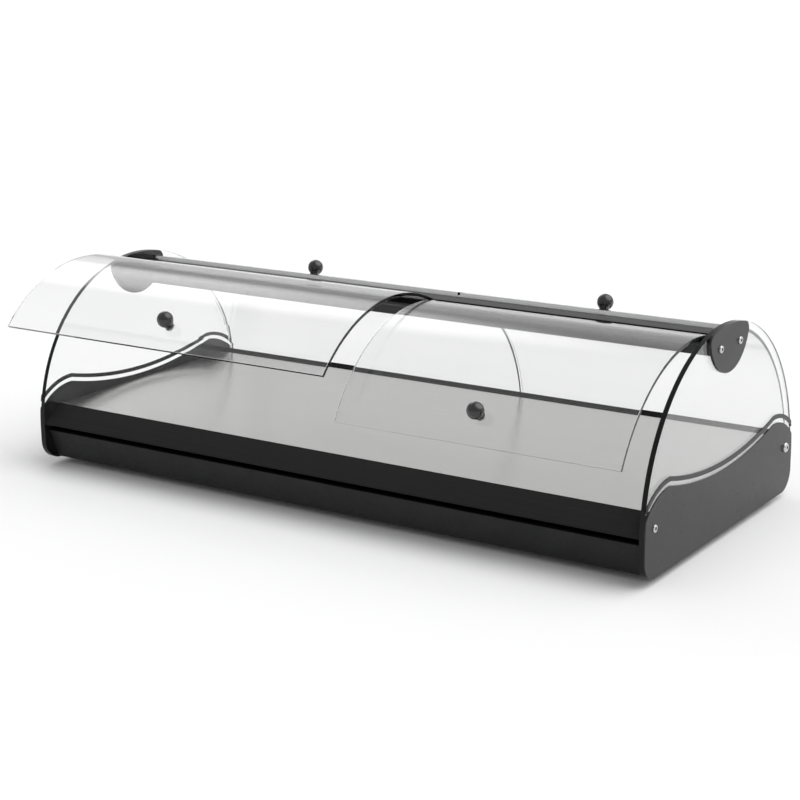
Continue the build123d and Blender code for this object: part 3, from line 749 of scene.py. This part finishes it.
def button_screw(name, places, x_seat, x_tip, outward, head_radius, head_height):
    """Screws along the case with a domed head and a hexagon socket, as one piece."""
    reach = abs(x_tip - x_seat)
    round_over = head_height * head_round_share
    profile = [(0, round_over * socket_point_share),
               (socket_radius * socket_foot_share, round_over * socket_floor_share, socket_sides),
               (socket_radius, head_height - socket_lip, socket_sides),
               (socket_radius + socket_lip, head_height)]
    profile += [(head_radius - round_over + r, head_height - round_over + h)
                for r, h in arc((0, 0), round_over, 90, 0, 10)]
    profile += [(head_radius, head_rim), (head_radius - head_rim, 0), (shank_radius, 0),
                (shank_radius, shank_chamfer - reach), (shank_radius - shank_chamfer, -reach), (0, -reach)]
    screws = [turned(name, profile, (x_seat, y, z), (outward, 0, 0), fixing_steel,
                     shaded_socket_finish=socket_shade) for y, z in places]
    with bpy.context.temp_override(active_object=screws[0], selected_editable_objects=screws):
        if len(screws) > 1:
            bpy.ops.object.join()
    return screws[0]


for side_name, outward in (("left", -1), ("right", 1)):
    for kind, places, head_radius, head_height in (
        ("cap_screws", cap_screw_places, small_head_radius, cap_head_height),
        ("plate_screw", [plate_screw_place], small_head_radius, plate_head_height),
        ("pivot_screw", [(rear_hinge.y, rear_hinge.z)], pivot_head_radius, pivot_head_height),
    ):
        screw_low, screw_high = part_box(f"{side_name}_{kind}")
        head_x, tip_x = (screw_high.x, screw_low.x) if outward > 0 else (screw_low.x, screw_high.x)
        screw = button_screw(f"{side_name}_{kind}_turned", places, head_x - outward * head_height, tip_x,
                             outward, head_radius, head_height)
        fit(screw, f"{side_name}_{kind}", "root")

# Covers: four sheets of 4 mm clear acrylic, bent over a former to a quarter round, drilled for a knob.
# The front pair hangs from the bar's rod, held part open; the rear pair stands on the rear rod.
# The edges are polished; the rear pair's top edge is near-white, painted light for the sheen along it.
cover_outer_radius = 0.1927
cover_inner_radius = 0.1887
cover_low_angle = 4.3
cover_high_angle = 81.0
cover_edge = 0.0005
bend_steps = 64
knob_edge_angle = 10.6
knob_bore = 0.0028
knob_patch = 0.012
patch_steps = 8

cover_acrylic = clear_acrylic("clear_cover_acrylic", (0.957, 0.960, 0.959), 0.03)
# The rear covers' top edge: near-white, painted light.
top_edge_painted_light = new_finish("rear_cover_top_edge_painted_light")
plain_settings(top_edge_painted_light, {"IOR": 1.49, "Transmission Weight": 0.05, "Specular IOR Level": 0.4})
shaded(top_edge_painted_light, speckle(top_edge_painted_light, 0.004, (6, 1, 1)), (0.94, 0.95, 0.95), (0.98, 0.985, 0.985))
between(top_edge_painted_light, speckle(top_edge_painted_light, 0.0008, (8, 1, 1)), 0.45, 0.65, "Roughness")
raised(top_edge_painted_light, speckle(top_edge_painted_light, 0.0006, (1, 8, 1)), 0.00003)


def polar(side, radius, angle):
    """Point at a radius and an angle above the level, on the front or the rear."""
    return Vector((side * radius * math.cos(math.radians(angle)),
                   radius * math.sin(math.radians(angle)) + covers_centre))


def hinged(cover_name, side, joint_name):
    """What the pieces of one cover share: hinge, opening, ends, and the place of its knob."""
    joint = joint_of(joint_name)
    hinge = Vector(joint["pos_m"])
    opening = math.radians(-joint["range_deg"][0])
    low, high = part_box(f"{cover_name}_cover")
    hinge_polar = cover_low_angle if side > 0 else cover_high_angle
    free_polar = cover_high_angle if side > 0 else cover_low_angle
    toward_free = 1 if free_polar > hinge_polar else -1
    knob_polar = free_polar - toward_free * knob_edge_angle
    knob_x = (low.x + high.x) / 2
    return SimpleNamespace(
        name=cover_name, body=f"{cover_name}_cover", side=side, low=low.x, high=high.x, hinge=hinge,
        lift=Matrix.Translation(hinge) @ Matrix.Rotation(-opening, 4, "X") @ Matrix.Translation(-hinge),
        hinge_polar=hinge_polar, toward_free=toward_free, knob_polar=knob_polar, knob_x=knob_x,
        knob_seat=Vector((knob_x, *polar(side, cover_outer_radius, knob_polar))),
        knob_way=Vector((0, *(polar(side, 1.0, knob_polar) - Vector((0, covers_centre))))))


def bent_sheet(cover):
    """A quarter-round sheet with the knob's screw hole; a rear cover's top edge takes the painted light."""
    work = bmesh.new()
    across = [knob_patch * (2 * j / patch_steps - 1) for j in range(patch_steps + 1)]
    stations = [cover.low] + [cover.knob_x + x for x in across] + [cover.high]
    step = (cover_high_angle - cover_low_angle) / bend_steps
    rows = [cover_low_angle + step * i for i in range(bend_steps + 1)]
    first_row = round((cover.knob_polar - cover_low_angle) / step) - patch_steps // 2
    last_row = first_row + patch_steps
    inside_patch = [(i, j) for i in range(first_row, last_row) for j in range(1, patch_steps + 1)]
    around = [(first_row, j) for j in range(1, patch_steps + 1)]
    around += [(i, patch_steps + 1) for i in range(first_row, last_row)]
    around += [(last_row, j) for j in range(patch_steps + 1, 1, -1)]
    around += [(i, 1) for i in range(last_row, first_row, -1)]
    rims = []
    skins = []
    for radius in (cover_outer_radius, cover_inner_radius):
        grid = [[work.verts.new((x, *polar(cover.side, radius, a))) for x in stations] for a in rows]
        for i in range(bend_steps):
            for j in range(len(stations) - 1):
                if (i, j) not in inside_patch:
                    work.faces.new((grid[i][j], grid[i][j + 1], grid[i + 1][j + 1], grid[i + 1][j]))
        rim = []
        for i, j in around:
            away = math.atan2(math.radians(rows[i] - cover.knob_polar) * radius, stations[j] - cover.knob_x)
            rise = math.degrees(knob_bore * math.sin(away) / radius)
            rim.append(work.verts.new((cover.knob_x + knob_bore * math.cos(away),
                                       *polar(cover.side, radius, cover.knob_polar + rise))))
        for k in range(len(around)):
            (i, j), (m, n) = around[k - 1], around[k]
            work.faces.new((grid[i][j], grid[m][n], rim[k], rim[k - 1]))
        rims.append(rim)
        skins.append(grid)
    for k in range(len(around)):
        work.faces.new((rims[0][k - 1], rims[0][k], rims[1][k], rims[1][k - 1]))
    outer, inner = skins
    rear_cover = cover.side > 0
    for i in (0, bend_steps):
        for j in range(len(stations) - 1):
            end_face = work.faces.new((outer[i][j], outer[i][j + 1], inner[i][j + 1], inner[i][j]))
            end_face.material_index = 1 if i and rear_cover else 0
    for j in (0, len(stations) - 1):
        for i in range(bend_steps):
            work.faces.new((outer[i][j], outer[i + 1][j], inner[i + 1][j], inner[i][j]))
    finishes = [cover_acrylic, top_edge_painted_light if rear_cover else None]
    return finished_piece(f"{cover.body}_acrylic", work, finishes, cover_edge)


def hang(piece, node, cover):
    """Turn a finished piece to its cover's opening, and let it ride with that cover."""
    piece.data.transform(cover.lift)
    fit(piece, node, cover.body)


covers = [
    hinged("front_left", -1, "front_left_lift"),
    hinged("front_right", -1, "front_right_lift"),
    hinged("rear_left", 1, "rear_left_swing"),
    hinged("rear_right", 1, "rear_right_swing"),
]
for cover in covers:
    hang(bent_sheet(cover), cover.body, cover)

# Hinge strips: black extruded plastic along each cover's hinge edge, with a barrel that turns on the rod.
# A lip under the cover and a shorter one over it grip the sheet.
barrel_bore = 0.0041
barrel_radius = 0.0061
web_half = 0.0015
lip_length = 0.010
lip_thickness = 0.001
outer_lip_length = 0.006
outer_lip_thickness = 0.0012
edge_strip = 0.0015
lip_steps = 6
strip_edge = 0.0002

strip_plastic = new_finish("black_extruded_strip")
plain_settings(strip_plastic, {"Specular IOR Level": 0.05})
drawn = speckle(strip_plastic, 0.0008, (300, 1, 1))
shaded(strip_plastic, drawn, (0.010, 0.010, 0.0104), (0.016, 0.016, 0.0165))
between(strip_plastic, drawn, 0.50, 0.62, "Roughness")
raised(strip_plastic, drawn, 0.00001)


def strip_outline(cover):
    """Section of a hinge strip: a barrel, a web, a lip under the cover and a cap over its edge."""
    side, start_polar, onward = cover.side, cover.hinge_polar, cover.toward_free
    centre = Vector((cover.hinge.y, cover.hinge.z))
    tip = polar(side, cover_inner_radius - lip_thickness / 2, start_polar)
    way = (tip - centre).normalized()
    across = Vector((-way.y, way.x)) * web_half
    if across.dot(polar(side, 1.0, start_polar + onward) - polar(side, 1.0, start_polar)) < 0:
        across = -across
    lip_radius = cover_inner_radius - lip_thickness
    free_foot, edge_foot = [met(centre + offset, way, lip_radius, Vector((0, covers_centre)))
                            for offset in (across, -across)]
    lip_end = start_polar + onward * math.degrees(lip_length / cover_inner_radius)
    edge_end = start_polar - onward * math.degrees(edge_strip / cover_inner_radius)
    outer_end = start_polar + onward * math.degrees(outer_lip_length / cover_outer_radius)
    lean = math.degrees(math.asin(web_half / barrel_radius))
    web_angle = math.degrees(math.atan2(way.y, way.x))
    turning = 1 if (way.x * across.y - way.y * across.x) > 0 else -1
    barrel = arc(centre, barrel_radius, web_angle - turning * lean, web_angle - turning * (360 - lean), 8)

    def sweep(radius, start, end):
        share = (end - start) / lip_steps
        return [tuple(polar(side, radius, start + share * i)) for i in range(lip_steps + 1)]

    foot_angles = [math.degrees(math.atan2(p.y - covers_centre, side * p.x)) for p in (free_foot, edge_foot)]
    ring = sweep(lip_radius, foot_angles[0], lip_end)
    ring += sweep(cover_inner_radius, lip_end, start_polar)
    ring += sweep(cover_outer_radius, start_polar, outer_end)
    ring += sweep(cover_outer_radius + outer_lip_thickness, outer_end, edge_end)
    ring += [tuple(polar(side, lip_radius, edge_end))]
    if onward * (foot_angles[1] - edge_end) > 0:
        ring += [tuple(edge_foot)]
    return [ring + barrel, bore(centre, barrel_bore)]


for cover in covers:
    strip_low, strip_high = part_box(f"{cover.name}_hinge_strip")
    strip = run_of(f"{cover.name}_hinge_strip_extrusion", strip_outline(cover),
                   strip_low.x, strip_high.x, strip_plastic, strip_edge)
    hang(strip, f"{cover.name}_hinge_strip", cover)

# Knobs: black ball knobs with a short neck, moulded in a hard gloss plastic round a threaded insert.
# One stands on each cover near its free edge.
knob_neck = 0.0055
knob_ball = 0.010
knob_rise = 0.0103
knob_foot_round = 0.0003
knob_flare = 0.0008

knob_plastic = new_finish("black_gloss_knob")
plain_settings(knob_plastic, {"Specular IOR Level": 0.5, "Coat Weight": 0.4, "Coat Roughness": 0.05})
shaded(knob_plastic, speckle(knob_plastic, 0.006), (0.004, 0.004, 0.0045), (0.008, 0.008, 0.0085))
between(knob_plastic, speckle(knob_plastic, 0.004), 0.12, 0.24, "Roughness")
raised(knob_plastic, speckle(knob_plastic, 0.0012), 0.000008)

neck_top = knob_rise - math.sqrt(knob_ball ** 2 - knob_neck ** 2)
ball_start = math.degrees(math.atan2(neck_top - knob_rise, knob_neck))
ball = [(r, h + knob_rise) for r, h in arc((0, 0), knob_ball, ball_start, 90, 5)]
ball[-1] = (0, knob_rise + knob_ball)
knob_profile = [(0, 0), (knob_neck - knob_foot_round, 0), (knob_neck, knob_foot_round),
                (knob_neck, neck_top - knob_flare),
                (knob_neck + knob_flare / 4, neck_top - knob_foot_round), *ball[1:]]
for cover in covers:
    knob = turned(f"{cover.name}_knob_moulded", knob_profile, cover.knob_seat, cover.knob_way, knob_plastic)
    hang(knob, f"{cover.name}_knob", cover)

# Knob screws: low round-headed stainless screws that hold the knobs from inside the covers.
# Each goes through the drilled hole into the knob's insert.
knob_screw_length = 0.016
knob_head_radius = 0.006
knob_head_height = 0.0025
knob_head_round = 0.001
knob_head_rim = 0.0003
knob_socket_floor = 0.0012
knob_socket_foot = 0.0016
knob_socket_mouth = 0.0018

knob_screw_profile = [
    (0, knob_socket_floor), (knob_socket_foot, knob_socket_floor, socket_sides),
    (knob_socket_mouth, knob_head_height, socket_sides),
    (knob_socket_mouth + socket_lip, knob_head_height),
    (knob_head_radius - knob_head_round, knob_head_height),
    (knob_head_radius - knob_head_rim, knob_head_height - knob_head_rim),
    (knob_head_radius, knob_head_height - knob_head_round), (knob_head_radius, head_rim),
    (knob_head_radius - head_rim, 0), (shank_radius, 0),
    (shank_radius, -knob_screw_length), (0, -knob_screw_length),
]
head_sink = cover_outer_radius - math.sqrt(cover_inner_radius ** 2 - knob_head_radius ** 2)
for cover in covers:
    knob_screw = turned(f"{cover.name}_knob_screw_turned", knob_screw_profile,
                        cover.knob_seat - cover.knob_way * head_sink, -cover.knob_way,
                        fixing_steel, shaded_socket_finish=socket_shade)
    hang(knob_screw, f"{cover.name}_knob_screw", cover)

# Studio: a pale seamless floor among pale walls, lit from all round.
# One wide soft light hangs overhead and two smaller ones stand behind the case.
floor_half = 60.0
wall_light = 0.61
# Each soft light: its direction, the angles to its faded edge and its even core, and its brightness.
softboxes = (
    ((0.6, 0.35, 1.0), 45.0, 22.0, 1.95),
    ((-0.653, 0.510, 0.559), 17.0, 3.0, 1.5),
    ((-0.38, 0.87, 0.30), 24.0, 5.0, 0.08),
)

pale_floor = new_finish("pale_floor")
plain_settings(pale_floor, {"Roughness": 0.9, "Specular IOR Level": 0.1})
shaded(pale_floor, speckle(pale_floor, 0.8), (0.86, 0.86, 0.86), (0.88, 0.88, 0.88))

floor_mesh = bpy.data.meshes.new("studio_floor")
floor_mesh.from_pydata([(-floor_half, -floor_half, 0), (floor_half, -floor_half, 0),
                        (floor_half, floor_half, 0), (-floor_half, floor_half, 0)], [], [(0, 1, 2, 3)])
floor = bpy.data.objects.new("studio_floor", floor_mesh)
bpy.context.scene.collection.objects.link(floor)
floor_mesh.materials.append(pale_floor)

world = bpy.data.worlds.new("studio_light")
bpy.context.scene.world = world
world.use_nodes = True


def softbox(direction, edge, core, brightness):
    """A round patch of light far off in one direction, fading from its core to its edge."""
    nodes = world.node_tree.nodes
    place = nodes.new("ShaderNodeTexCoord")
    facing = nodes.new("ShaderNodeVectorMath")
    facing.operation = "DOT_PRODUCT"
    facing.inputs[1].default_value = Vector(direction).normalized()
    fade = nodes.new("ShaderNodeMapRange")
    fade.interpolation_type = "SMOOTHSTEP"
    fade.inputs["From Min"].default_value = math.cos(math.radians(edge))
    fade.inputs["From Max"].default_value = math.cos(math.radians(core))
    fade.inputs["To Max"].default_value = brightness
    world.node_tree.links.new(place.outputs["Generated"], facing.inputs[0])
    world.node_tree.links.new(facing.outputs["Value"], fade.inputs["Value"])
    return fade.outputs["Result"]


background = world.node_tree.nodes["Background"]
background.inputs["Color"].default_value = (1, 1, 1, 1)
room_light = None
for softbox_values in softboxes:
    added = world.node_tree.nodes.new("ShaderNodeMath")
    added.inputs[1].default_value = wall_light
    world.node_tree.links.new(softbox(*softbox_values), added.inputs[0])
    if room_light is not None:
        world.node_tree.links.new(room_light, added.inputs[1])
    room_light = added.outputs["Value"]
world.node_tree.links.new(room_light, background.inputs["Strength"])

# Camera: it stands and points as the one did that took the photograph, to the right of the front.
# Its lens, place and tilt were worked out from the case's long edges and half-round ends.
photo_lens = 83.4
photo_sensor = 36.0
photo_place = Vector((1.2514, -1.8769, 0.7127))
photo_turn = math.radians(33.807)
photo_tilt = math.radians(15.083)
photo_roll = math.radians(-0.663)
back = Vector((math.sin(photo_turn) * math.cos(photo_tilt),
               -math.cos(photo_turn) * math.cos(photo_tilt), math.sin(photo_tilt)))
level_right = (-back).cross(Vector((0, 0, 1))).normalized()
level_up = level_right.cross(-back)
right = level_right * math.cos(photo_roll) + level_up * math.sin(photo_roll)
up = level_up * math.cos(photo_roll) - level_right * math.sin(photo_roll)
lens = bpy.data.cameras.new("photo_camera")
lens.lens = photo_lens
lens.sensor_width = photo_sensor
camera = bpy.data.objects.new("photo_camera", lens)
camera.matrix_world = Matrix((
    (right.x, up.x, back.x, photo_place.x),
    (right.y, up.y, back.y, photo_place.y),
    (right.z, up.z, back.z, photo_place.z),
    (0, 0, 0, 1),
))
bpy.context.scene.collection.objects.link(camera)
bpy.context.scene.camera = camera
bpy.context.scene.view_settings.view_transform = "Standard"
